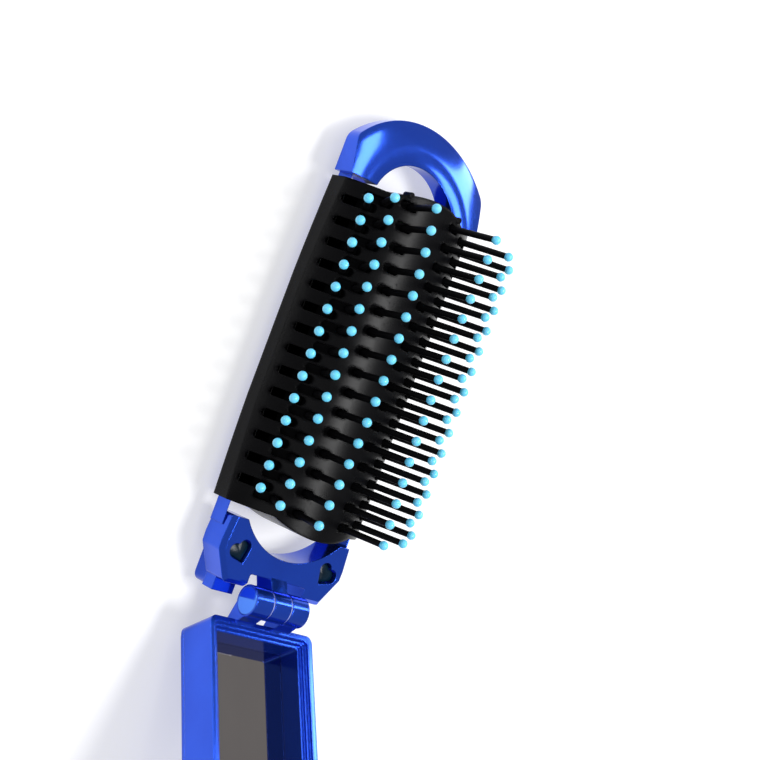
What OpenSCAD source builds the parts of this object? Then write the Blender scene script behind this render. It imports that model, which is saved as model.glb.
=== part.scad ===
// Folding hairbrush with a mirror. Millimetres.
// X across, Y along the brush half from the hinge to the loop, Z up along the bristles.
// The origin is the middle of the flat back of the brush half, which lies on a table.

/* [Bristle head] */
// Half the width of the bristle head at its corners
head_half_w = 20.5; // [20:0.1:22]
// How far the head's long sides bulge out at mid length
head_bulge = 1.0; // [0.6:0.1:1.6]
// Half the length of the bristle head along its middle
head_half_l = 41.5; // [41.2:0.1:43]
// Half the length of the bristle head at its shoulders
shoulder_half_l = 39; // [38.9:0.1:39.6]
// Radius of the head's bulging ends, seen from above
head_end_r = 28; // [27:0.5:36]
// Outer radius of the dome that the bristles stand on
dome_r = 25.5; // [25:0.1:26.5]
// Wall of the head
head_wall = 1.4; // [1:0.1:1.6]
// Width of a bristle slot
slot_w = 2.1; // [2.05:0.05:2.2]

/* [Bristles] */
// Half the length of an outer row, between its end bristles
row_half_outer = 33.7; // [33:0.1:34.2]
// Half the length of a middle row
row_half_middle = 35.9; // [34:0.1:36]
// Half the length of an inner row
row_half_inner = 37.3; // [35:0.1:37.5]
// Distance from the fan's centre to the middle of a ball tip
tip_reach = 38; // [34:0.5:38]
// Radius of a pin where it leaves the carrier
pin_root_r = 0.8; // [0.7:0.01:0.84]
// Radius of a pin at its tip
pin_tip_r = 0.76; // [0.6:0.01:0.8]
// Radius of a ball tip
ball_r = 1.1; // [0.9:0.05:1.15]
// Lean of the inner rows at mid length, in degrees
lean_inner = 11.6; // [11:0.1:12.5]
// Lean of the middle rows at mid length, in degrees
lean_middle = 28.3; // [28.1:0.1:29]
// Lean of the outer rows, in degrees
lean_outer = 38.4; // [37.5:0.1:38.6]
// How far the bristles sink when the brush is closed
lift_travel = 7.2; // [5:0.1:7.3]
// Thickness of the carrier
carrier_t = 1.7; // [1.2:0.1:1.8]

/* [Blue frame] */
// Depth of the tub behind the head
tub_depth = 5; // [4.8:0.1:7]
// Wall of the tub
tub_wall = 1.0; // [0.8:0.1:1]
// Floor of the tub
tub_floor = 1.4; // [1:0.1:1.4]
// Height of the base above the back of the frame
base_h = 8; // [7:0.1:8.5]
// Half the width of the base at its widest
base_half_w = 18.9; // [18.9:0.1:20]
// Radius of the crescent cut in the base
crescent_r = 18.2; // [17.5:0.1:18.6]
// Distance from the head's middle to the crescent's centre
crescent_back = 30.5; // [30:0.1:31]
// Gap between the head's shoulders and the loop's legs
leg_gap = 1.1; // [0.8:0.1:2]
// Half the width of the loop
loop_half_w = 21.2; // [20.6:0.1:22]
// Length of the loop from its legs to its free end
loop_l = 18.9; // [17:0.1:21]
// Outer radius of the loop's free end
loop_out_r = 27.5; // [26:0.5:32]
// Radius of the loop's outer corners
loop_corner_r = 3.5; // [2:0.5:5]
// Band width of the loop at its free end
loop_band = 10.1; // [8:0.1:11]
// Radius of the hole in the loop
loop_hole_r = 14; // [13:0.1:14.5]
// Thickness of the loop at its legs
loop_t = 6.8; // [5:0.1:7.5]
// Downward slope of the loop towards its free end, in degrees
loop_slope = 11.5; // [6:0.5:12]

/* [Hinge] */
// Distance from the head's middle to the hinge axis
hinge_back = 59.3; // [59:0.1:62]
// Height of the hinge axis above the table
hinge_z = 14.6; // [14.4:0.1:15.5]
// Radius of the hinge barrel
barrel_r = 3.7; // [3.2:0.05:3.8]
// Half the length of the hinge barrel
barrel_half = 8; // [7.4:0.1:8.2]
// Width of the middle knuckle
knuckle_w = 5; // [4:0.1:5.6]
// Radius of the hinge pin
pin_r = 1.0; // [0.8:0.05:1.2]
// How far the mirror half is raised from straight, in degrees
open_tilt = 35; // [20:1:40]

/* [Mirror half] */
// Half the width of the mirror tray
tray_half_w = 15.5; // [15.3:0.1:15.6]
// Distance from the hinge axis to the tray's end wall
tray_start = 3.4; // [3.3:0.1:4]
// Height of the hinge axis above the tray's rim
rim_drop = 4.0; // [3.9:0.1:5]
// Rim width along the tray's sides
rim_side = 3.2; // [2:0.1:3.4]
// Rim width at the tray's ends, steps included
rim_end = 3.0; // [2.8:0.1:4]
// Depth of the mirror below the rim
mirror_depth = 7.8; // [7.7:0.1:9]
// Thickness of the mirror glass
glass_t = 1.3; // [1:0.1:1.8]
// Thickness of the foam pad behind the glass
pad_t = 0.8; // [0.5:0.1:1.2]
// Thickness of the tray's back panel
panel_t = 1.6; // [1.4:0.1:2]

/* [Fits] */
// Radial clearance of a turning or sliding round fit
run_gap = 0.05; // [0.02:0.01:0.1]
// Clearance between the carrier and the head around it
slide_gap = 0.25; // [0.2:0.01:0.3]
// Clearance of parts that only sit together
seat_gap = 0.05; // [0.02:0.01:0.1]
// Clearance between the closing catch and the loop
catch_gap = 0.4; // [0.3:0.05:0.8]

/* [Hidden] */
$fn = 48;
eps = 0.01;
big = 200;

// Levels of the brush half
frame_z = tub_depth;
base_z = frame_z + base_h;
fan_z = -4.9 + (tub_depth - 5);
inner_dome_r = dome_r - head_wall;
carrier_r = inner_dome_r - slide_gap;
carrier_in_r = carrier_r - carrier_t;
carrier_half_w = 15.6;
slot_low_z = frame_z + 4.6;
slot_end_r = 0.6 * slot_w;

// The head's bulging sides are flat for a stretch about mid length
side_flat_w = head_half_w + head_bulge - 0.15;

// Nubs on the end of the head
nub_x = 8;
nub_h = 2.4;
nub_r = 0.8;
nub_y = head_half_l - head_end_r + sqrt(pow(head_end_r, 2) - pow(nub_x, 2)) - 0.1;
nub_z = fan_z + sqrt(pow(dome_r, 2) - pow(nub_x, 2)) - nub_h + 0.3;

// Rows from left to right: side, lean, lean added at the row's ends, number of pins, half length
end_lean_inner = 3.8;
end_lean_middle = 2;
row_a = [-1, lean_outer, 0, 14, row_half_outer];
row_b = [-1, lean_middle, end_lean_middle, 15, row_half_middle];
row_c = [-1, lean_inner, end_lean_inner, 16, row_half_inner];
row_d = [1, lean_inner, end_lean_inner, 16, row_half_inner];
row_e = [1, lean_middle, end_lean_middle, 15, row_half_middle];
row_f = [1, lean_outer, 0, 14, row_half_outer];
// The bristles stand a little nearer the loop than the hinge
field_y = 0.5;

// Guide columns between the tub and the head
column_ys = [-30, 30];
column_r = 1.9;
column_split_z = frame_z + 4;
hub_r = 2.9;
hub_z = fan_z + carrier_in_r - 2.2;
screw_r = 0.95;
screw_head_r = 1.8;
screw_head_h = 1.1;
screw_sink = 0.15;
screw_tip_z = frame_z + 10.5;
spring_wire_r = 0.22;
spring_turns = 9;

// Frame under the head
rail_out = head_half_w - head_wall - 0.2;
rail_w = 1.9;
rail_clear = 0.3;
tub_half_w = rail_out - 0.6;
tub_foot_half_w = tub_half_w - 2.1;
tub_chamfer_h = 3.2;
tub_inset = 0.4;

// Loop
loop_y = shoulder_half_l + leg_gap;
loop_z = frame_z + 1;
loop_top_y = loop_y + loop_l;
loop_hole_top_y = loop_top_y - loop_band;
loop_hole_y = loop_hole_top_y - loop_hole_r;
loop_ridge_r = 18.5;
loop_crown_r = 26;

// Base
base_y0 = -crescent_back - 11.2;
base_low_y = -hinge_back + 2.4;
base_chamfer = 1.1;
lip_h = 4;
lip_y = -hinge_back - 0.5;
foot_y = base_low_y + 6.5;
foot_half_w = 14;
notch_y = -hinge_back + 5.7;
notch_half_w = barrel_half + 0.4;
// Right half of the base's outline, from the horn round to the middle knuckle
base_half = [[base_half_w - 0.5, base_y0], [base_half_w, base_y0 - 5.8],
    [base_half_w - 0.1, base_y0 - 8.3],
    [foot_half_w + 0.6, base_low_y], [notch_half_w, base_low_y], [notch_half_w, notch_y]];
base_radii = [0.8, 3, 1.5, 1.5, 0.4, 0.4];
knuckle_gap = 0.4;
side_knuckle_x = knuckle_w / 2 + knuckle_gap;
heart_x = 13;
heart_y = -hinge_back + 9.6;
heart_size = 2.9;
heart_tilt = 32;
heart_depth = 2.2;

// Mirror half, in its own frame: hinge axis at the origin, mirror facing +Z, tray along -Y
rim_z = -rim_drop;
glass_z = rim_z - mirror_depth;
pocket_z = glass_z - glass_t - pad_t;
panel_z = pocket_z - panel_t;
step_h = 0.9;
pocket_side = 1.1;
pocket_end = 1.8;
glass_gap = 0.2;
cap_r = barrel_r - 0.4;
cap_t = 0.8;
tongue_half_w = 4;
tongue_t = 1.5;
bead_r = 1.2;
bead_half_w = 2.5;
// The catch's bead just clears the far edge of the loop's hole when the brush is closed
tray_end = hinge_back + loop_hole_top_y - catch_gap - bead_r;
// The tongue reaches down to the middle of the loop's thickness
tongue_tip_z = hinge_z - loop_z - 1.6;

// ---- helpers ----

function unit(v) = v / norm(v);

// Points of a round corner of radius r at b, between its neighbours a and c
function corner_arc(a, b, c, r, n) =
    let (u = unit(a - b), w = unit(c - b), half = acos(u * w) / 2,
         mid = b + unit(u + w) * r / sin(half),
         p = b + u * r / tan(half) - mid, q = b + w * r / tan(half) - mid,
         start = atan2(p[1], p[0]), turn = (atan2(q[1], q[0]) - start + 540) % 360 - 180)
    [for (i = [0:n]) mid + r * [cos(start + turn * i / n), sin(start + turn * i / n)]];

// A polygon's points with each corner rounded to its own radius
function rounded(pts, radii, n = 6) =
    [for (i = [0:len(pts) - 1])
        each corner_arc(pts[(i + len(pts) - 1) % len(pts)], pts[i], pts[(i + 1) % len(pts)],
            radii[i], n)];

// The right half of an outline, with its mirror image added
function both_sides(half) =
    concat(half, [for (i = [len(half) - 1:-1:0]) [-half[i][0], half[i][1]]]);

function both_radii(radii) = concat(radii, [for (i = [len(radii) - 1:-1:0]) radii[i]]);

function row_y(row, i) = field_y + row[4] * (2 * i / (row[3] - 1) - 1);
function row_lean(row, y) = row[1] + row[2] * pow((y - field_y) / row[4], 2);

// Where a line leaning by lean from the fan's centre, sunk by drop, meets a circle of radius r
// around that centre: its distance from the middle plane
function crossing(lean, r, drop) =
    let (k = drop * cos(lean))
    sin(lean) * (k + sqrt(k * k + r * r - drop * drop));

// Stand at the fan's centre, turned along the pin at y
module along_pin(row, y) {
    translate([0, y, fan_z]) rotate([0, row[0] * row_lean(row, y), 0]) children();
}

// Extrude an XZ outline along Y, centred
module along_y(length) {
    rotate([90, 0, 0]) linear_extrude(height = length, center = true) children();
}

// Plan of the head, shrunk by inset: two bulging sides, straight shoulders and a bulging middle
module head_plan(inset, half_w) {
    side_r = (pow(shoulder_half_l, 2) + pow(head_bulge, 2)) / (2 * head_bulge);
    side_x = side_r - head_half_w - head_bulge;
    intersection() {
        union() {
            translate([-half_w, -shoulder_half_l + inset]) square(2 * [half_w, shoulder_half_l - inset]);
            for (side = [-1, 1])
                translate([0, side * (head_half_l - head_end_r)])
                    circle(r = head_end_r - inset, $fn = 180);
        }
        translate([-side_x, 0]) rotate(90) circle(r = side_r - inset, $fn = 360);
        translate([side_x, 0]) rotate(90) circle(r = side_r - inset, $fn = 360);
        translate([-half_w, -big / 2]) square([2 * half_w, big]);
    }
}

module dome_outline(r, half_w, low) {
    intersection() {
        translate([0, fan_z]) circle(r = r, $fn = 180);
        translate([-half_w, low]) square([2 * half_w, big / 2]);
    }
}

// Dome block of the head, shrunk by inset, from the height low up
module dome_block(inset, low) {
    intersection() {
        along_y(big) dome_outline(dome_r - inset, head_half_w + head_bulge, low);
        linear_extrude(height = big / 2) head_plan(inset, side_flat_w - inset);
    }
}

// ---- brush half ----

module base_outline() {
    difference() {
        polygon(rounded(both_sides(base_half), both_radii(base_radii)));
        translate([0, -crescent_back]) circle(r = crescent_r, $fn = 120);
    }
}

// Wedge that bevels the base's top edge from p to q
module edge_cut(p, q) {
    d = q - p;
    translate([p[0], p[1], base_z - base_chamfer]) rotate(atan2(d[1], d[0]))
        translate([-2, 0, 0]) rotate([45, 0, 0]) cube([norm(d) + 4, 3, 3]);
}

module heart(size) {
    rotate(45) square(1.2 * size, center = true);
    for (side = [-1, 1])
        rotate(45) translate([side > 0 ? 0.6 * size : 0, side > 0 ? 0 : 0.6 * size]) circle(r = 0.6 * size);
}

// Outline of the loop: straight legs, rounded corners and the arc of the free end, less the hole
module loop_outline() {
    arc_y = loop_top_y - loop_out_r;
    // centre of the corner that joins the straight side to the arc
    corner_x = loop_half_w - loop_corner_r;
    corner_y = arc_y + sqrt(pow(loop_out_r - loop_corner_r, 2) - pow(corner_x, 2));
    difference() {
        union() {
            intersection() {
                translate([0, arc_y]) circle(r = loop_out_r, $fn = 180);
                translate([-loop_half_w, loop_y]) square([2 * loop_half_w, corner_y - loop_y]);
            }
            for (side = [-1, 1])
                translate([side * corner_x, corner_y]) circle(r = loop_corner_r);
            intersection() {
                translate([0, arc_y]) circle(r = loop_out_r, $fn = 180);
                polygon([[-corner_x, loop_y], [corner_x, loop_y], [corner_x, corner_y],
                    [corner_x * 1.5, arc_y + (corner_y - arc_y) * 1.5], [0, big],
                    [-corner_x * 1.5, arc_y + (corner_y - arc_y) * 1.5], [-corner_x, corner_y]]);
            }
        }
        translate([0, loop_hole_y]) circle(r = loop_hole_r, $fn = 120);
    }
}

// Ring-shaped crown: highest along a circle, falling away towards the hole and the outer edge
module loop_crown() {
    rotate_extrude($fn = 180)
        intersection() {
            translate([loop_ridge_r, -loop_crown_r]) circle(r = loop_crown_r, $fn = 180);
            translate([0, -2 * loop_crown_r]) square([loop_ridge_r + loop_crown_r, 2 * loop_crown_r]);
        }
}

// The loop: a round outline under a crowned face that slopes down to the free end
module loop() {
    intersection() {
        translate([0, 0, loop_z]) linear_extrude(height = 2 * loop_t) loop_outline();
        translate([0, loop_y, loop_z + loop_t]) rotate([-loop_slope, 0, 0])
            translate([0, loop_hole_y - loop_y, 0]) loop_crown();
    }
}

module knuckle(x0, x1) {
    translate([x0, 0, 0]) rotate([0, 90, 0]) cylinder(r = barrel_r, h = x1 - x0);
}

module middle_knuckle() {
    web_y = notch_y + 0.5;
    difference() {
        union() {
            translate([0, -hinge_back, hinge_z]) knuckle(-knuckle_w / 2, knuckle_w / 2);
            rotate([90, 0, 90]) linear_extrude(height = knuckle_w, center = true)
                polygon([[-hinge_back, hinge_z + barrel_r - 0.3], [web_y, base_z],
                    [web_y, frame_z + 2], [-hinge_back, hinge_z - barrel_r + 0.2]]);
        }
        translate([-big / 2, -hinge_back, hinge_z]) rotate([0, 90, 0]) cylinder(r = pin_r + run_gap, h = big);
    }
}

// Height at which a sunk outer bristle passes x, less the clearance that the rail keeps
function sunk_pin_z(x) =
    fan_z - lift_travel + (x - rail_clear - pin_root_r / cos(lean_outer)) / tan(lean_outer);

// Rail from the base to the loop, bevelled along the sunk outer bristles
module rail() {
    rail_in = rail_out - rail_w;
    from = base_y0 - 3;
    to = loop_y + 2;
    translate([0, (from + to) / 2, 0]) along_y(to - from)
        polygon([[rail_in, frame_z], [rail_out, frame_z],
            [rail_out, sunk_pin_z(rail_out)], [rail_in, sunk_pin_z(rail_in)]]);
}

// Base block with its bevelled edges, the lips beside the barrel and the foot below
module base_block() {
    lip_in = notch_half_w;
    difference() {
        translate([0, 0, frame_z]) linear_extrude(height = base_h) base_outline();
        for (i = [0:len(base_half) - 3]) {
            edge_cut(base_half[i + 1], base_half[i]);
            mirror([1, 0, 0]) edge_cut(base_half[i + 1], base_half[i]);
        }
    }
    for (side = [-1, 1])
        translate([side > 0 ? lip_in : -foot_half_w - 0.5, lip_y, frame_z])
            cube([foot_half_w + 0.5 - lip_in, base_low_y - lip_y + 1, lip_h]);
    foot = [[foot_half_w, foot_y], [foot_half_w, lip_y], [notch_half_w, lip_y], [notch_half_w, notch_y - 0.5]];
    linear_extrude(height = frame_z + 1)
        polygon(rounded(both_sides(foot), both_radii([2, 2, 0.5, 0.5])));
}

module brush_frame() {
    color("royalblue") {
        difference() {
            union() {
                base_block();
                rail();
                mirror([1, 0, 0]) rail();
            }
            for (side = [-1, 1])
                translate([side * heart_x, heart_y, base_z - heart_depth]) rotate(-side * heart_tilt)
                    linear_extrude(height = heart_depth + 1) heart(heart_size);
            translate([-notch_half_w, -hinge_back, hinge_z]) rotate([0, 90, 0])
                cylinder(r = barrel_r + 0.5, h = 2 * notch_half_w);
        }
        loop();
        middle_knuckle();
    }
}

module tub_outline(inset, low) {
    half = [[tub_foot_half_w - inset, low], [tub_half_w - inset, tub_chamfer_h + inset / 2],
        [tub_half_w - inset, frame_z + (inset > 0 ? 1 : 0)]];
    polygon(both_sides(half));
}

module back_cover() {
    color("mediumblue")
    difference() {
        union() {
            difference() {
                intersection() {
                    along_y(big) tub_outline(0, 0);
                    linear_extrude(height = big) head_plan(tub_inset, tub_half_w + 1);
                }
                intersection() {
                    along_y(big) tub_outline(tub_wall, tub_floor);
                    linear_extrude(height = big) head_plan(tub_inset + tub_wall, tub_half_w);
                }
            }
            for (y = column_ys)
                translate([0, y, tub_floor - 0.5]) cylinder(r = column_r, h = column_split_z - tub_floor + 0.5);
        }
        for (y = column_ys) {
            translate([0, y, -1]) cylinder(r = screw_r + 0.15, h = column_split_z + 2);
            translate([0, y, screw_sink])
                cylinder(r1 = screw_head_r + 0.1, r2 = screw_r + 0.1, h = screw_head_h + 0.1);
            translate([0, y, -1]) cylinder(r = screw_head_r + 0.1, h = screw_sink + 1 + eps);
        }
    }
}

// Slot for one bristle: as long as its sideways travel through the wall, with bowed ends
module bristle_slot(row, y) {
    lean = row_lean(row, y);
    play = slot_w / 2 - pin_root_r;
    from = crossing(lean, inner_dome_r, 0) - pin_root_r / cos(lean) - play;
    to = min(crossing(lean, dome_r, lift_travel) + pin_root_r + play, head_half_w + head_bulge + 1);
    middle = (from + to) / 2;
    length = to - from;
    translate([row[0] * middle, y]) intersection() {
        square([length, slot_w], center = true);
        union() {
            square([length - 2 * slot_end_r, 2 * slot_w], center = true);
            for (side = [-1, 1])
                translate([side * (length / 2 - slot_end_r), 0]) circle(r = slot_end_r, $fn = 24);
        }
    }
}

module row_slots(row) {
    for (i = [0:row[3] - 1])
        bristle_slot(row, row_y(row, i));
}

module grille_head() {
    color([0.05, 0.05, 0.06])
    difference() {
        union() {
            // small nubs on the head's end, towards the loop
            for (side = [-1, 1])
                translate([side * nub_x, nub_y, nub_z]) cylinder(r = nub_r, h = nub_h);
            difference() {
                dome_block(0, frame_z);
                dome_block(head_wall, frame_z - 1);
                // gaps in the end walls where the frame's rails pass
                for (side = [-1, 1])
                    translate([side * (rail_out - rail_w / 2) - rail_w / 2 - 0.3, -big / 2, frame_z - 1])
                        cube([rail_w + 0.6, big, sunk_pin_z(rail_out) - frame_z + 1 + rail_clear]);
            }
            for (y = column_ys)
                translate([0, y, column_split_z])
                    cylinder(r = column_r, h = fan_z + inner_dome_r + 0.5 - column_split_z);
        }
        for (y = column_ys)
            translate([0, y, column_split_z - 1])
                cylinder(r = screw_r + seat_gap, h = screw_tip_z - column_split_z + 1.5);
        translate([0, 0, slot_low_z]) linear_extrude(height = big / 2) {
            row_slots(row_a);
            row_slots(row_b);
            row_slots(row_c);
            row_slots(row_d);
            row_slots(row_e);
            row_slots(row_f);
        }
    }
}

module cover_screws() {
    color("silver")
    for (y = column_ys)
        difference() {
            translate([0, y, screw_sink]) union() {
                cylinder(r1 = screw_head_r, r2 = screw_r, h = screw_head_h);
                cylinder(r = screw_r, h = screw_tip_z - screw_sink);
            }
            for (turn = [0, 90])
                translate([0, y, screw_sink]) rotate(turn) cube([2.2, 0.45, 1], center = true);
        }
}

// ---- bristle carrier ----

module row_bores(row) {
    for (i = [0:row[3] - 1])
        along_pin(row, row_y(row, i))
            translate([0, 0, carrier_in_r - 2]) cylinder(r = pin_root_r + seat_gap, h = carrier_t + 4, $fn = 24);
}

module bristle_carrier() {
    color([0.12, 0.12, 0.13])
    difference() {
        union() {
            intersection() {
                along_y(big) difference() {
                    dome_outline(carrier_r, carrier_half_w, frame_z);
                    translate([0, fan_z]) circle(r = carrier_in_r, $fn = 180);
                }
                linear_extrude(height = big / 2)
                    head_plan(max(head_wall, tub_inset + tub_wall) + slide_gap, carrier_half_w);
            }
            for (y = column_ys)
                translate([0, y, hub_z]) cylinder(r = hub_r, h = fan_z + carrier_in_r + 1 - hub_z);
        }
        for (y = column_ys)
            translate([0, y, 0]) cylinder(r = column_r + run_gap, h = big / 2);
        row_bores(row_a);
        row_bores(row_b);
        row_bores(row_c);
        row_bores(row_d);
        row_bores(row_e);
        row_bores(row_f);
    }
}

// One row of pins: each has a flat head under the carrier and narrows to its tip
module pins(row) {
    head_t = 0.6;
    head_z = carrier_in_r - seat_gap - head_t;
    pin_l = tip_reach - ball_r * 0.6 - head_z;
    color([0.04, 0.04, 0.05])
    for (i = [0:row[3] - 1])
        along_pin(row, row_y(row, i))
            translate([0, 0, head_z]) {
                cylinder(r = pin_root_r + 0.3, h = head_t, $fn = 24);
                cylinder(r1 = pin_root_r, r2 = pin_tip_r, h = pin_l, $fn = 24);
            }
}

module tips(row) {
    color([0.36, 0.75, 0.93])
    for (i = [0:row[3] - 1])
        along_pin(row, row_y(row, i))
            translate([0, 0, tip_reach]) sphere(r = ball_r, $fn = 24);
}

// Closed coil spring from z0 to z1 around a column at y
module coil(y, z0, z1, coil_r, wire_r, turns) {
    steps = 12;
    sides = 6;
    n = steps * turns;
    height = z1 - z0 - 2 * wire_r;
    rings = [for (i = [0:n]) let (t = i / n, a = 360 * turns * t, z = z0 + wire_r + height * t)
        for (k = [0:sides - 1]) let (b = 360 * k / sides, r = coil_r + wire_r * cos(b))
            [r * cos(a), y + r * sin(a), z + wire_r * sin(b)]];
    walls = [for (i = [0:n - 1]) for (k = [0:sides - 1])
        let (p = i * sides + k, q = i * sides + (k + 1) % sides)
        each [[p, q, q + sides], [p, q + sides, p + sides]]];
    start = [for (k = [1:sides - 2]) [0, k + 1, k]];
    last = n * sides;
    end = [for (k = [1:sides - 2]) [last, last + k, last + k + 1]];
    polyhedron(points = rings, faces = [for (f = concat(walls, start, end)) [f[2], f[1], f[0]]]);
}

module lift_springs() {
    color("silver")
    for (y = column_ys)
        coil(y, tub_floor, hub_z, column_r + 0.3 + spring_wire_r, spring_wire_r, spring_turns);
}

// ---- hinge ----

module hinge_pin() {
    color("silver")
    translate([-(barrel_half - cap_t - seat_gap), -hinge_back, hinge_z])
        rotate([0, 90, 0]) cylinder(r = pin_r, h = 2 * (barrel_half - cap_t - seat_gap));
}

module hinge_washers() {
    washer_t = knuckle_gap - 2 * seat_gap;
    color("lightsteelblue")
    for (side = [-1, 1])
        translate([side * (knuckle_w / 2 + knuckle_gap / 2) - washer_t / 2, -hinge_back, hinge_z])
            rotate([0, 90, 0]) difference() {
                cylinder(r = barrel_r - 0.2, h = washer_t);
                translate([0, 0, -1]) cylinder(r = pin_r + run_gap, h = 3);
            }
}

// ---- mirror half ----

module on_mirror_half() {
    translate([0, -hinge_back, hinge_z]) rotate([-open_tilt, 0, 0]) children();
}

module tray_outline(inset_side, inset_end, corner_near, corner_far) {
    w = tray_half_w - inset_side;
    near = -tray_start - inset_end;
    far = -tray_end + inset_end;
    polygon(rounded([[w, near], [w, far], [-w, far], [-w, near]],
        [corner_near, corner_far, corner_far, corner_near], 5));
}

module slab(z_low, z_high) {
    translate([0, 0, z_low]) linear_extrude(height = z_high - z_low) children();
}

module side_knuckles() {
    for (side = [-1, 1])
        difference() {
            union() {
                knuckle(side > 0 ? side_knuckle_x : -barrel_half, side > 0 ? barrel_half : -side_knuckle_x);
                translate([side * (side_knuckle_x + barrel_half) / 2, 0, 0]) rotate([90, 0, 90])
                    linear_extrude(height = barrel_half - side_knuckle_x, center = true)
                        polygon([[-barrel_r * 0.75, barrel_r * 0.6], [-tray_start - 0.6, rim_z],
                            [-tray_start - 0.6, rim_z - 5.5], [barrel_r * 0.3, -barrel_r * 0.9]]);
            }
            translate([-big / 2, 0, 0]) rotate([0, 90, 0]) cylinder(r = pin_r + run_gap, h = big);
            translate([side > 0 ? barrel_half - cap_t : -barrel_half - 1, 0, 0])
                rotate([0, 90, 0]) cylinder(r = cap_r + seat_gap, h = cap_t + 1);
        }
}

module mirror_tray() {
    color("royalblue")
    on_mirror_half() {
        difference() {
            slab(pocket_z, rim_z) tray_outline(0, 0, 1.8, 5);
            slab(rim_z - step_h, rim_z + 1)
                tray_outline(rim_side - 1.8, rim_end - 1.6, 1.2, 4);
            slab(rim_z - 2 * step_h, rim_z)
                tray_outline(rim_side - 0.9, rim_end - 0.8, 0.8, 3.4);
            slab(glass_z - 1, rim_z)
                tray_outline(rim_side, rim_end, 0.5, 3);
            slab(pocket_z - 1, glass_z)
                tray_outline(pocket_side, pocket_end, 0.5, 3);
        }
        side_knuckles();
        tongue();
    }
}

// Tongue with a bead, which drops into the loop when the brush is closed
module tongue() {
    translate([-tongue_half_w, -tray_end, rim_z - 1])
        cube([2 * tongue_half_w, tongue_t, tongue_tip_z - rim_z + 1]);
    translate([-bead_half_w, -tray_end, tongue_tip_z - bead_r - 0.4]) rotate([0, 90, 0])
        cylinder(r = bead_r, h = 2 * bead_half_w);
}

module tray_back() {
    color("mediumblue")
    on_mirror_half() {
        slab(panel_z, panel_z + panel_t / 2) tray_outline(0.5, 0.5, 1.8, 5);
        slab(panel_z + panel_t / 2, pocket_z) tray_outline(0, 0, 1.8, 5);
    }
}

module mirror_pad() {
    color([0.2, 0.2, 0.22])
    on_mirror_half()
        slab(pocket_z, pocket_z + pad_t)
            tray_outline(pocket_side + 1, pocket_end + 1, 0.5, 3);
}

module mirror_glass() {
    color([0.8, 0.85, 0.9])
    on_mirror_half()
        slab(pocket_z + pad_t, glass_z)
            tray_outline(pocket_side + glass_gap, pocket_end + glass_gap, 0.5, 3);
}

module pin_caps() {
    color([0.45, 0.6, 0.95])
    for (side = [-1, 1])
        translate([side > 0 ? barrel_half - cap_t : -barrel_half, -hinge_back, hinge_z])
            rotate([0, 90, 0]) cylinder(r = cap_r, h = cap_t);
}

brush_frame();
back_cover();
grille_head();
cover_screws();
lift_springs();
bristle_carrier();
pins(row_a);  // bristle_pins_a
pins(row_b);  // bristle_pins_b
pins(row_c);  // bristle_pins_c
pins(row_d);  // bristle_pins_d
pins(row_e);  // bristle_pins_e
pins(row_f);  // bristle_pins_f
tips(row_a);  // ball_tips_a
tips(row_b);  // ball_tips_b
tips(row_c);  // ball_tips_c
tips(row_d);  // ball_tips_d
tips(row_e);  // ball_tips_e
tips(row_f);  // ball_tips_f
hinge_pin();
hinge_washers();
pin_caps();
mirror_tray();
tray_back();
mirror_pad();
mirror_glass();
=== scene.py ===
"""The looks of a folding hairbrush with a mirror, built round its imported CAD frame.

Metres, in the frame of the CAD part: X across, Y along the brush half from the hinge to the loop,
Z up along the bristles, with the flat back of the brush half on the floor at Z 0.
"""

import math

import bpy
import numpy as np
from mathutils import Matrix, Vector


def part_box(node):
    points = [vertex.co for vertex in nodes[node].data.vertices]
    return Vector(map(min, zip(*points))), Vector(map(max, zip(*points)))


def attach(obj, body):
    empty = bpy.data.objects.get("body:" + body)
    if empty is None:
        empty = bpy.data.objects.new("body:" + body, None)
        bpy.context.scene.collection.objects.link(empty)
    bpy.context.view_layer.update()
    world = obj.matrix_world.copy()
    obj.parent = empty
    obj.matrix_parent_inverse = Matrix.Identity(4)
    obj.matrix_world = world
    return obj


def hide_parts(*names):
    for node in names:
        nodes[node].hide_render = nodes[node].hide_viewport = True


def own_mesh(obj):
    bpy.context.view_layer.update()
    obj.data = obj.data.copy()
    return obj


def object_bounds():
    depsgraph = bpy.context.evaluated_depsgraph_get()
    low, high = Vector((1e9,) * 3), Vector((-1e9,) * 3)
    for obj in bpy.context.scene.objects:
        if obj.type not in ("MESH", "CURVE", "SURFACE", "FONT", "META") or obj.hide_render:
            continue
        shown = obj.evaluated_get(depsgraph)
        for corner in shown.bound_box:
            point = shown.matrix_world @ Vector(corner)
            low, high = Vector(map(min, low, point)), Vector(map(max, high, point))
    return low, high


MM = 0.001

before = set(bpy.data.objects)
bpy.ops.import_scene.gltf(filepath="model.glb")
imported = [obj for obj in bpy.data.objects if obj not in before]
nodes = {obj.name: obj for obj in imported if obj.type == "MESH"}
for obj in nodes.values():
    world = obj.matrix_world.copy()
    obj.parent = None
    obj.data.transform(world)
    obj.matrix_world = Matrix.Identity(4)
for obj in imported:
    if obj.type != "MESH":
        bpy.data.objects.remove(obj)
cad_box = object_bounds()


# ---- materials ----

BEVEL_SAMPLES = 4

# Linear colours
BODY_DEEP = (0.011, 0.048, 0.46, 1)
BODY_LIGHT = (0.022, 0.112, 0.78, 1)
BLACK = (0.002, 0.002, 0.0025, 1)
STEEL = (0.58, 0.58, 0.6, 1)
# Painted shade: the mirror's colours are dark, in place of the dark room it reflects
MIRROR_DIMMED = (0.31, 0.285, 0.28, 1)
MIRROR_DIMMED_WIPED = (0.26, 0.24, 0.235, 1)
FOAM_CELL = (0.012, 0.012, 0.014, 1)
FOAM_WALL = (0.045, 0.045, 0.05, 1)
# Painted shade: the near-black heart studs stand in for the shade in the heart recesses
HEART_SHADE_DARK = (0.0005, 0.006, 0.011, 1)
HEART_SHADE_RIM = (0.008, 0.05, 0.12, 1)
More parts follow.
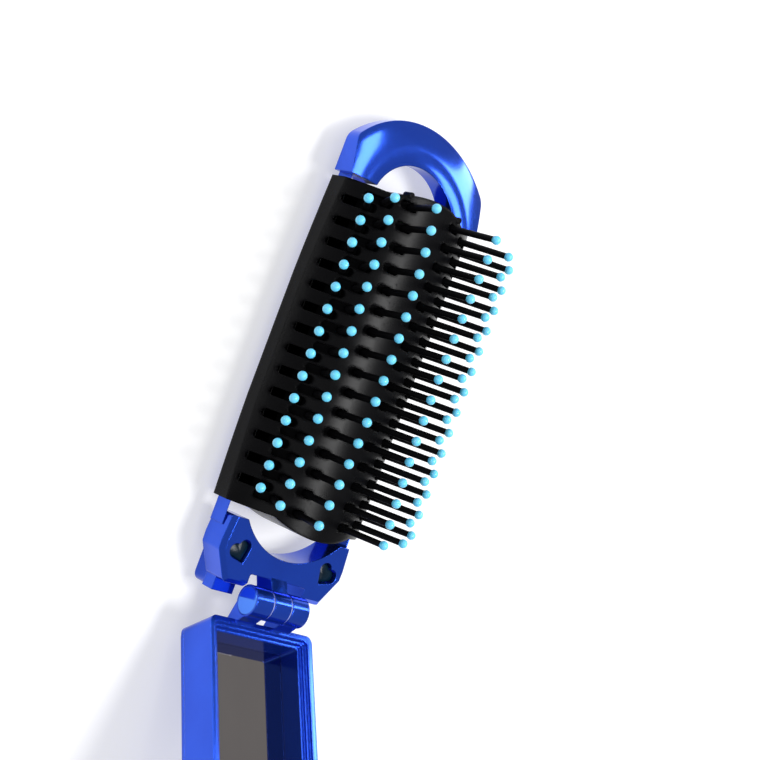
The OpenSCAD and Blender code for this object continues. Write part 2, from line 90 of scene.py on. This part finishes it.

# Painted shade: what the head covers is painted black, standing in for the shade under the head.
# It ends between two distances from the middle along X, and starts between two levels along Z.
# Past the head, along Y, the lacquer begins again
FRAME_PAINTED_SHADE = ((59.8 * MM, 60 * MM), (5.2 * MM, 5.3 * MM))
COVER_PAINTED_SHADE = ((15.4 * MM, 15.6 * MM), (1.2 * MM, 1.3 * MM))
PAINTED_SHADE_END = (38.4 * MM, 38.6 * MM)


def colour(red, green, blue):
    """A screen colour, 0 to 255, as the linear colour that a shader takes."""
    parts = [c / 255 for c in (red, green, blue)]
    linear = [c / 12.92 if c <= 0.04045 else ((c + 0.055) / 1.055) ** 2.4 for c in parts]
    return tuple(linear) + (1.0,)


def scaled(tint, factor):
    """A linear colour made lighter or darker by factor."""
    return tuple(factor * c for c in tint[:3]) + (1.0,)


class Field:
    """A value that varies over a surface. Arithmetic on it adds Math nodes to its tree."""

    def __init__(self, builder, socket):
        self.builder = builder
        self.socket = socket

    def math(self, operation, first, second):
        return self.builder.node("Math", {"operation": operation}, {0: first, 1: second})

    def __add__(self, other):
        return self.math("ADD", self, other)

    __radd__ = __add__

    def __sub__(self, other):
        return self.math("SUBTRACT", self, other)

    def __rsub__(self, other):
        return self.math("SUBTRACT", other, self)

    def __mul__(self, other):
        return self.math("MULTIPLY", self, other)

    __rmul__ = __mul__

    def __gt__(self, other):
        return self.math("GREATER_THAN", self, other)


class TreeBuilder:
    """The emptied node tree of a material or world, with one method that adds any node."""

    def __init__(self, owner):
        owner.use_nodes = True
        self.tree = owner.node_tree
        self.tree.nodes.clear()

    def node(self, kind, settings=None, sockets=None, out=0):
        """Adds a node: its settings first, then its sockets' values or links."""
        made = self.tree.nodes.new("ShaderNode" + kind)
        for key, value in (settings or {}).items():
            setattr(made, key, value)
        for key, value in (sockets or {}).items():
            if isinstance(value, Field):
                self.tree.links.new(value.socket, made.inputs[key])
            else:
                made.inputs[key].default_value = value
        return Field(self, made.outputs[out]) if made.outputs else None


class Finish(TreeBuilder):
    """A material under construction, with patterns that stay fixed to the object."""

    def __init__(self, name):
        self.material = bpy.data.materials.new(name)
        super().__init__(self.material)
        self.place = self.node("TexCoord", out="Object")

    def noise(self, size, detail=3.0, stretch=None):
        """Soft noise from 0 to 1. Its patches are about size metres across, and longer along an
        axis whose stretch is below 1."""
        at = self.place
        if stretch is not None:
            at = self.node("Mapping", sockets={"Vector": at, "Scale": stretch})
        sockets = {"Vector": at, "Scale": 1 / size, "Detail": detail}
        return self.node("TexNoise", sockets=sockets, out="Fac")

    def reach(self, axis, low, high):
        """0 where X, Y or Z lies nearer to 0 than low, and 1 where it lies beyond high."""
        along = self.node("SeparateXYZ", sockets={"Vector": self.place}, out=axis)
        away = self.node("Math", {"operation": "ABSOLUTE"}, {0: along})
        sockets = {"Value": away, "From Min": low, "From Max": high}
        return self.node("MapRange", {"interpolation_type": "SMOOTHSTEP"}, sockets)

    def rounded(self, radius):
        """The surface's normal as if its edges were rounded by radius."""
        return self.node("Bevel", {"samples": BEVEL_SAMPLES}, {"Radius": radius}, out="Normal")

    def edges(self, soft, gain):
        """Near 1 on the edges that rounded() softens, and 0 on flat faces."""
        flat = self.node("NewGeometry", out="Normal")
        dot = {"operation": "DOT_PRODUCT"}
        along = self.node("VectorMath", dot, {0: soft, 1: flat}, out="Value")
        clamped = {"operation": "MULTIPLY", "use_clamp": True}
        return self.node("Math", clamped, {0: 1 - along, 1: gain})

    def mix(self, share, first, second):
        """First where share is 0, second where it is 1. Both are colours."""
        sockets = {"Factor": share, 6: first, 7: second}
        return self.node("Mix", {"data_type": "RGBA"}, sockets, out=2)

    def bump(self, height, depth, normal=None, strength=1.0):
        """A normal that shows height, whose full swing is depth metres."""
        sockets = {"Height": height, "Distance": depth, "Strength": strength}
        if normal is not None:
            sockets["Normal"] = normal
        return self.node("Bump", sockets=sockets, out="Normal")

    def surface(self, **sockets):
        """Ends the material in a Principled shader. _ stands for each space in a socket's name."""
        named = {key.replace("_", " "): value for key, value in sockets.items()}
        shader = self.node("BsdfPrincipled", sockets=named)
        self.node("OutputMaterial", sockets={"Surface": shader})
        return self.material


def pearl_blue(name, deep, light, shade_reach=None, edge=0.35):
    """Blue lacquer with metal flake under a clear coat, with edges rounded by edge millimetres.

    The fourth argument gives where the painted shade under the head ends along X and starts along
    Z: there the lacquer is painted black, standing in for the shade under the head.
    """
    finish = Finish(name)
    soft = finish.rounded(edge * MM)
    worn = finish.edges(soft, gain=1.6)
    cloud = finish.noise(9 * MM)
    flake = finish.noise(0.16 * MM, detail=1.0)
    smear = finish.noise(5 * MM, stretch=(1, 0.25, 1))
    paint = finish.mix(0.35 * cloud + 0.5 * flake, deep, light)
    paint = finish.mix(0.5 * worn, paint, light)
    shine = 0.85
    # Painted shade: black and not metallic where the head covers the part, in place of its shade
    if shade_reach is not None:
        end_x, start_z = shade_reach
        inside_x = 1 - finish.reach("X", *end_x)
        inside_y = 1 - finish.reach("Y", *PAINTED_SHADE_END)
        painted_shade = inside_x * finish.reach("Z", *start_z) * inside_y
        paint = finish.mix(painted_shade, paint, BLACK)
        shine = shine - shine * painted_shade
    return finish.surface(
        Base_Color=paint,
        Metallic=shine,
        Roughness=0.075 + 0.05 * smear + 0.1 * worn,
        Coat_Weight=0.12,
        Coat_Roughness=0.05,
        Normal=finish.bump(flake, depth=0.002 * MM, normal=soft, strength=0.5),
    )


def black_plastic(name, roughness, gloss, grain=0.012, edge=0.2):
    """Moulded black plastic: faint clouds, rubbed edges and dust, with a surface grain millimetres
    deep and edges rounded by edge millimetres."""
    finish = Finish(name)
    soft = finish.rounded(edge * MM)
    worn = finish.edges(soft, gain=1.2)
    grit = finish.noise(0.25 * MM, detail=4.0)
    cloud = finish.noise(6 * MM)
    dust = finish.noise(1.1 * MM, detail=6.0) > 0.69
    return finish.surface(
        Base_Color=finish.mix(0.4 * cloud + 0.5 * worn, BLACK, scaled(BLACK, 2.2)),
        Roughness=roughness + 0.12 * cloud + 0.2 * dust,
        Specular_IOR_Level=gloss,
        Normal=finish.bump(grit, depth=grain * MM, normal=soft, strength=0.5),
    )


def steel(name, roughness, along=None):
    """Plated or ground steel. Its fine tool marks are longer on an axis where along is below 1."""
    finish = Finish(name)
    marks = finish.noise(0.3 * MM, detail=4.0, stretch=along)
    stain = finish.noise(2 * MM)
    return finish.surface(
        Base_Color=finish.mix(0.6 * stain, STEEL, scaled(STEEL, 0.6)),
        Metallic=1.0,
        Roughness=roughness + 0.2 * marks,
        Normal=finish.bump(marks, depth=0.01 * MM, strength=0.5),
    )


def tip_plastic():
    """Light blue ball tips: a slightly clear plastic whose shade varies a little between tips."""
    finish = Finish("tip_plastic")
    batch = finish.noise(7 * MM, detail=1.0)
    speck = finish.noise(0.3 * MM)
    share = 0.5 * batch + 0.3 * speck
    return finish.surface(
        Base_Color=finish.mix(share, colour(82, 200, 250), colour(140, 234, 255)),
        Roughness=0.24 + 0.12 * speck,
        Subsurface_Weight=0.15,
        Subsurface_Scale=0.5 * MM,
        Coat_Weight=0.3,
        Normal=finish.bump(speck, depth=0.01 * MM, strength=0.4),
    )


def washer_nylon():
    """Pale blue nylon with a faint grain."""
    finish = Finish("washer_nylon")
    cloud = finish.noise(1.2 * MM)
    return finish.surface(
        Base_Color=finish.mix(cloud, colour(150, 160, 226), colour(190, 198, 244)),
        Roughness=0.35 + 0.15 * cloud,
        Normal=finish.bump(cloud, depth=0.02 * MM, strength=0.3),
    )


def silvered_glass():
    """Mirror glass darkened in colour, painted shade standing in for the dark room it reflects,
    with a rounded edge, faint wipe marks and a few specks.
    """
    finish = Finish("silvered_glass")
    wipe = finish.noise(7 * MM, detail=4.0, stretch=(1, 0.3, 1))
    speck = finish.noise(0.8 * MM, detail=5.0) > 0.72
    return finish.surface(
        Base_Color=finish.mix(0.5 * wipe, MIRROR_DIMMED, MIRROR_DIMMED_WIPED),
        Metallic=1.0,
        Roughness=0.025 + 0.05 * wipe + 0.2 * speck,
        Normal=finish.rounded(0.25 * MM),
    )


def foam():
    """Thin black foam with open cells."""
    finish = Finish("foam")
    sockets = {"Vector": finish.place, "Scale": 1 / (0.35 * MM)}
    cells = finish.node("TexVoronoi", sockets=sockets, out="Distance")
    return finish.surface(
        Base_Color=finish.mix(cells, FOAM_CELL, FOAM_WALL),
        Roughness=0.85 + 0.1 * cells,
        Normal=finish.bump(cells, depth=0.15 * MM),
    )


def heart_shade_fill():
    """Near-black teal, glossy, lighter at the rim: painted shade in the heart recesses."""
    finish = Finish("heart_shade_fill")
    soft = finish.rounded(0.2 * MM)
    thin = finish.edges(soft, gain=1.5)
    cloud = finish.noise(1.5 * MM)
    pit = finish.noise(0.2 * MM, detail=4.0)
    return finish.surface(
        Base_Color=finish.mix(0.6 * thin + 0.2 * cloud, HEART_SHADE_DARK, HEART_SHADE_RIM),
        Roughness=0.16 + 0.12 * cloud,
        Specular_IOR_Level=0.12,
        Normal=finish.bump(pit, depth=0.008 * MM, normal=soft, strength=0.4),
    )


def dress(names, material):
    """Gives the CAD nodes called names one material."""
    for name in names:
        nodes[name].data.materials.clear()
        nodes[name].data.materials.append(material)


PIN_ROWS = "abcdef"
pins = ["bristle_pins_" + row for row in PIN_ROWS]
tips = ["ball_tips_" + row for row in PIN_ROWS]
caps = (colour(40, 95, 215), colour(95, 160, 250))

# Painted shade: the frame and the cover are painted black under the head, in place of its shade
dress(["brush_frame"], pearl_blue("pearl_blue_frame", BODY_DEEP, BODY_LIGHT, FRAME_PAINTED_SHADE))
dress(["back_cover"], pearl_blue("pearl_blue_cover", BODY_DEEP, BODY_LIGHT, COVER_PAINTED_SHADE))
tray_blue = pearl_blue("pearl_blue_tray", BODY_DEEP, BODY_LIGHT, edge=0.6)
dress(["mirror_tray", "tray_back"], tray_blue)
dress(["pin_caps"], pearl_blue("pearl_blue_caps", *caps))
dress(["grille_head"], black_plastic("head_black", roughness=0.22, gloss=0.08, edge=0.9))
dress(["bristle_carrier"], black_plastic("carrier_black", roughness=0.6, gloss=0.05))
dress(pins, black_plastic("pin_nylon", roughness=0.4, gloss=0.07, grain=0.006))
dress(tips, tip_plastic())
dress(["cover_screws"], steel("screw_zinc", roughness=0.25))
spring_wire = steel("spring_wire", roughness=0.3)
dress(["lift_springs"], spring_wire)
dress(["hinge_pin"], steel("pin_steel", roughness=0.15, along=(0.2, 1, 1)))
dress(["hinge_washers"], washer_nylon())
dress(["mirror_pad"], foam())
dress(["mirror_glass"], silvered_glass())


# ---- pieces beside the CAD's own ----

# The near-black studs in the base's two heart recesses: painted shade, in place of their shade
HEART_MIDDLE = (13 * MM, -49.7 * MM)
HEART_TILT = math.radians(32)
HEART_HALF_SIDE = 1.52 * MM
HEART_FLOOR = 10.8 * MM
HEART_TOP = 12.0 * MM
HEART_FOOT = 0.1 * MM
HEART_SHOULDER = 0.15 * MM
HEART_CROWN = 0.35 * MM
HEART_SIDE_POINTS = 14
HEART_LOBE_POINTS = 24

# The springs that lift the bristle carriage
SPRING_COLUMNS = (-30 * MM, 30 * MM)
COIL_RADIUS = 2.42 * MM
WIRE_RADIUS = 0.22 * MM
TURNS = 9
STEPS_PER_TURN = 26
WIRE_SIDES = 10
END_FLATNESS = 0.8


def add_piece(name, points, faces, material):
    """A mesh object from arrays of points and a list of faces."""
    mesh = bpy.data.meshes.new(name)
    mesh.from_pydata(points.tolist(), [], faces)
    mesh.materials.append(material)
    piece = bpy.data.objects.new(name, mesh)
    bpy.context.scene.collection.objects.link(piece)
    return piece


def closed_skin(name, rings, material):
    """A closed smooth piece from rings of points, each ring anticlockwise seen from the last one.

    Four-sided faces join each ring to the next, and a fan round its own middle closes each end.
    """
    count, sides = rings.shape[:2]
    middles = [rings[0].mean(axis=0)[None], rings[-1].mean(axis=0)[None]]
    points = np.concatenate([rings.reshape(-1, 3)] + middles)
    i, j = np.meshgrid(np.arange(count - 1), np.arange(sides), indexing="ij")
    k = (j + 1) % sides
    low, high = i * sides, (i + 1) * sides
    walls = np.stack([low + j, low + k, high + k, high + j], axis=-1).reshape(-1, 4)
    j, k = j[0], k[0]
    last, middle = (count - 1) * sides, count * sides
    first_end = np.stack([k, j, np.full(sides, middle)], axis=-1)
    last_end = np.stack([last + j, last + k, np.full(sides, middle + 1)], axis=-1)
    faces = walls.tolist() + first_end.tolist() + last_end.tolist()
    piece = add_piece(name, points, faces, material)
    piece.data.polygons.foreach_set("use_smooth", np.ones(len(faces), dtype=bool))
    piece.data.validate()
    return piece


def heart_rim():
    """Points round a heart that points along -Y, from a square 2 wide that stands on its corner.

    They follow one straight side, the half circles on the two upper sides, and the other straight
    side.
    """
    side = np.linspace(0, 1, HEART_SIDE_POINTS, endpoint=False)
    lobe = np.linspace(0, math.pi, HEART_LOBE_POINTS, endpoint=False)
    u = np.concatenate([2 * side - 1, 1 + np.sin(lobe), np.cos(lobe), np.full_like(side, -1)])
    v = np.concatenate([np.full_like(side, -1), -np.cos(lobe), 1 + np.sin(lobe), 1 - 2 * side])
    return np.stack([u - v, u + v], axis=-1) / math.sqrt(2)


def heart_inlay(name, middle, turn, material):
    """A heart-shaped stud: a wall from HEART_FLOOR to HEART_TOP, and a crown over it, where the
    rim shrinks to the share s while the height grows by HEART_CROWN (1 - s^2)."""
    wall_share = np.array([0.97, 1.0, 1.0])
    wall_height = np.array([HEART_FLOOR, HEART_FLOOR + HEART_FOOT, HEART_TOP - HEART_SHOULDER])
    crown_share = np.array([0.97, 0.9, 0.78, 0.6, 0.4, 0.2])
    crown_height = HEART_TOP + HEART_CROWN * (1 - crown_share**2)
    share = np.concatenate([wall_share, crown_share])
    height = np.concatenate([wall_height, crown_height])
    c, s = math.cos(turn), math.sin(turn)
    rim = heart_rim() * HEART_HALF_SIDE @ np.array([[c, s], [-s, c]])
    flat = share[:, None, None] * rim[None] + np.array(middle)
    level = np.broadcast_to(height[:, None, None], flat.shape[:2] + (1,))
    piece = closed_skin(name, np.concatenate([flat, level], axis=-1), material)
    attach(piece, "brush_half")


def spring_coils(low, high, material):
    """A coil spring of round wire on each column, from the level low to the level high.

    At the share t of the height, the wire's middle is at the angle 2 pi TURNS t on a circle of
    COIL_RADIUS, and its skin is a circle of WIRE_RADIUS about it, in the plane through the column.
    The first and last turns lie almost flat, because the middle rises as
    t - END_FLATNESS sin(2 pi t) / (2 pi).
    """
    t, around = np.meshgrid(
        np.linspace(0, 1, STEPS_PER_TURN * TURNS + 1),
        np.linspace(0, 2 * math.pi, WIRE_SIDES, endpoint=False)[::-1],
        indexing="ij",
    )
    angle = 2 * math.pi * TURNS * t
    climb = t - END_FLATNESS * np.sin(2 * math.pi * t) / (2 * math.pi)
    rise = low + WIRE_RADIUS + (high - low - 2 * WIRE_RADIUS) * climb
    out = COIL_RADIUS + WIRE_RADIUS * np.cos(around)
    x, y, z = out * np.cos(angle), out * np.sin(angle), rise + WIRE_RADIUS * np.sin(around)
    for number, column in enumerate(SPRING_COLUMNS, start=1):
        rings = np.stack([x, column + y, z], axis=-1)
        part = closed_skin("spring_%d" % number, rings, material)
        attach(part, "brush_half")
        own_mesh(part)
        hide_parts("lift_springs")


# Painted shade: near-black studs in place of the shade in the heart recesses
heart_shade_material = heart_shade_fill()
for side, name in ((-1, "heart_left"), (1, "heart_right")):
    heart_inlay(name, (side * HEART_MIDDLE[0], HEART_MIDDLE[1]), -side * HEART_TILT, heart_shade_material)
spring_low, spring_high = (corner.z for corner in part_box("lift_springs"))
spring_coils(spring_low, spring_high, spring_wire)


# ---- floor, light and camera ----

FLOOR_REACH = 3.0
FLOOR_HUB = 0.02
FLOOR_RINGS = 4
FLOOR_SPOKES = 48
FLOOR_GAP = 0.1 * MM
FLOOR_TINTS = ((0.62, 0.62, 0.62, 1), (0.63, 0.63, 0.63, 1))
ROOM_LEVEL = 0.42
LOOP_CENTRE = (0.0, 0.050, 0.012)
HEAD_CENTRE = (0.0, 0.0, 0.02)

# The camera stands to the left of and above the brush, as the photograph was taken
CAMERA_AT = Vector((-0.22342, -0.01465, 0.28370))
CAMERA_TURN = math.radians(40.5)
CAMERA_TILT = math.radians(-2.17)
CAMERA_ROLL = math.radians(-20.33)
CAMERA_CLIP = (0.01, 20.0)
FOCAL_PIXELS = 1500.45
FRAME_PIXELS = 760
SENSOR_MM = 36.0


def floor_material():
    """Pale floor: a light grey sheet that keeps the brush's shadow, with a glow that the camera
    and reflections see as white."""
    finish = Finish("pale_floor")
    cloud = finish.noise(0.2)
    camera_ray = finish.node("LightPath", out="Is Camera Ray")
    glossy_ray = finish.node("LightPath", out="Is Glossy Ray")
    transmission_ray = finish.node("LightPath", out="Is Transmission Ray")
    glow = 0.45 * camera_ray + 0.5 * (glossy_ray + transmission_ray)
    sheet = finish.node("BsdfDiffuse", sockets={"Color": finish.mix(cloud, *FLOOR_TINTS)})
    light = finish.node("Emission", sockets={"Strength": glow})
    both = finish.node("AddShader", sockets={0: sheet, 1: light})
    finish.node("OutputMaterial", sockets={"Surface": both})
    return finish.material


def floor_sheet():
    """A flat disc far wider than the view, just under the brush: points at radius r and angle a
    lie at (r cos a, r sin a, level)."""
    level = cad_box[0].z - FLOOR_GAP
    r, a = np.meshgrid(
        np.linspace(FLOOR_HUB, FLOOR_REACH, FLOOR_RINGS),
        np.linspace(0, 2 * math.pi, FLOOR_SPOKES, endpoint=False),
        indexing="ij",
    )
    points = np.stack([r * np.cos(a), r * np.sin(a), np.full_like(r, level)], axis=-1)
    i, j = np.meshgrid(np.arange(FLOOR_RINGS - 1), np.arange(FLOOR_SPOKES), indexing="ij")
    k = (j + 1) % FLOOR_SPOKES
    inner, outer = i * FLOOR_SPOKES, (i + 1) * FLOOR_SPOKES
    quads = np.stack([inner + j, outer + j, outer + k, inner + k], axis=-1).reshape(-1, 4)
    faces = quads.tolist() + [list(range(FLOOR_SPOKES))]
    sheet = add_piece("floor", points.reshape(-1, 3), faces, floor_material())


def soft_box(name, towards, aim, size, radiance, distance=0.9, turn=0.0, hidden_from=None):
    """A rectangular lamp at a distance from aim in the direction towards, facing aim, turned about
    its own axis. Light linking keeps its light off the object hidden_from."""
    lamp = bpy.data.lights.new(name, "AREA")
    lamp.shape = "RECTANGLE"
    lamp.size, lamp.size_y = size
    lamp.energy = radiance * math.pi * size[0] * size[1]
    made = bpy.data.objects.new(name, lamp)
    made.visible_camera = False
    bpy.context.scene.collection.objects.link(made)
    if hidden_from is not None:
        shaded = bpy.data.collections.new(name + "_shaded")
        shaded.objects.link(hidden_from)
        shaded.collection_objects[0].light_linking.link_state = "EXCLUDE"
        made.light_linking.receiver_collection = shaded
    direction = Vector(towards).normalized()
    made.matrix_world = (
        Matrix.Translation(Vector(aim) + distance * direction)
        @ direction.to_track_quat("Z", "Y").to_matrix().to_4x4()
        @ Matrix.Rotation(turn, 4, "Z")
    )


def studio_lamps():
    """Two strips for the loop's highlights, a panel for the head's crown, and softer light from
    the far end, the side and above."""
    glass = nodes["mirror_glass"]
    soft_box("strip_left", (0.464, 0.503, 0.729), LOOP_CENTRE,
             size=(0.12, 0.43), radiance=8.0, turn=1.137, hidden_from=glass)
    soft_box("strip_right", (0.743, 0.524, 0.417), LOOP_CENTRE,
             size=(0.07, 0.41), radiance=11.0, turn=0.06, hidden_from=glass)
    soft_box("crown_panel", (0.29, 0.04, 0.955), HEAD_CENTRE,
             size=(0.32, 0.26), radiance=23.0)
    soft_box("edge_strip", (-0.30, 0.73, 0.59), HEAD_CENTRE,
             size=(0.10, 0.35), radiance=7.0, hidden_from=glass)
    soft_box("side_strip", (-0.96, 0.20, 0.19), HEAD_CENTRE,
             size=(0.55, 0.10), radiance=6.0)
    soft_box("fill_above", (-0.5, -0.4, 1.0), HEAD_CENTRE,
             size=(0.7, 0.7), radiance=1.2, distance=1.1)


def studio_world():
    """A plain room of brightness ROOM_LEVEL that the camera sees white."""
    world = bpy.data.worlds.new("studio")
    bpy.context.scene.world = world
    room = TreeBuilder(world)
    strength = ROOM_LEVEL + (1 - ROOM_LEVEL) * room.node("LightPath", out="Is Camera Ray")
    shade = room.node("Background", sockets={"Color": (1, 1, 1, 1), "Strength": strength})
    room.node("OutputWorld", sockets={"Surface": shade})


def photo_camera():
    """The photograph's view: the camera looks straight down, turned by CAMERA_TURN about Y and
    tilted by CAMERA_TILT, then rolled about its own axis."""
    data = bpy.data.cameras.new("camera")
    data.sensor_width = SENSOR_MM
    data.lens = SENSOR_MM * FOCAL_PIXELS / FRAME_PIXELS
    data.clip_start, data.clip_end = CAMERA_CLIP
    camera = bpy.data.objects.new("camera", data)
    bpy.context.scene.collection.objects.link(camera)
    back = Vector((
        -math.sin(CAMERA_TURN) * math.cos(CAMERA_TILT),
        math.sin(CAMERA_TILT),
        math.cos(CAMERA_TURN) * math.cos(CAMERA_TILT),
    ))
    right = Vector((0, 1, 0)).cross(back).normalized()
    up = back.cross(right)
    axes = Matrix((right, up, back)).transposed().to_4x4()
    roll = Matrix.Rotation(-CAMERA_ROLL, 4, "Z")
    camera.matrix_world = Matrix.Translation(CAMERA_AT) @ axes @ roll
    bpy.context.scene.camera = camera


floor_sheet()
studio_world()
studio_lamps()
photo_camera()
bpy.context.scene.view_settings.view_transform = "Standard"

bpy.context.view_layer.update()
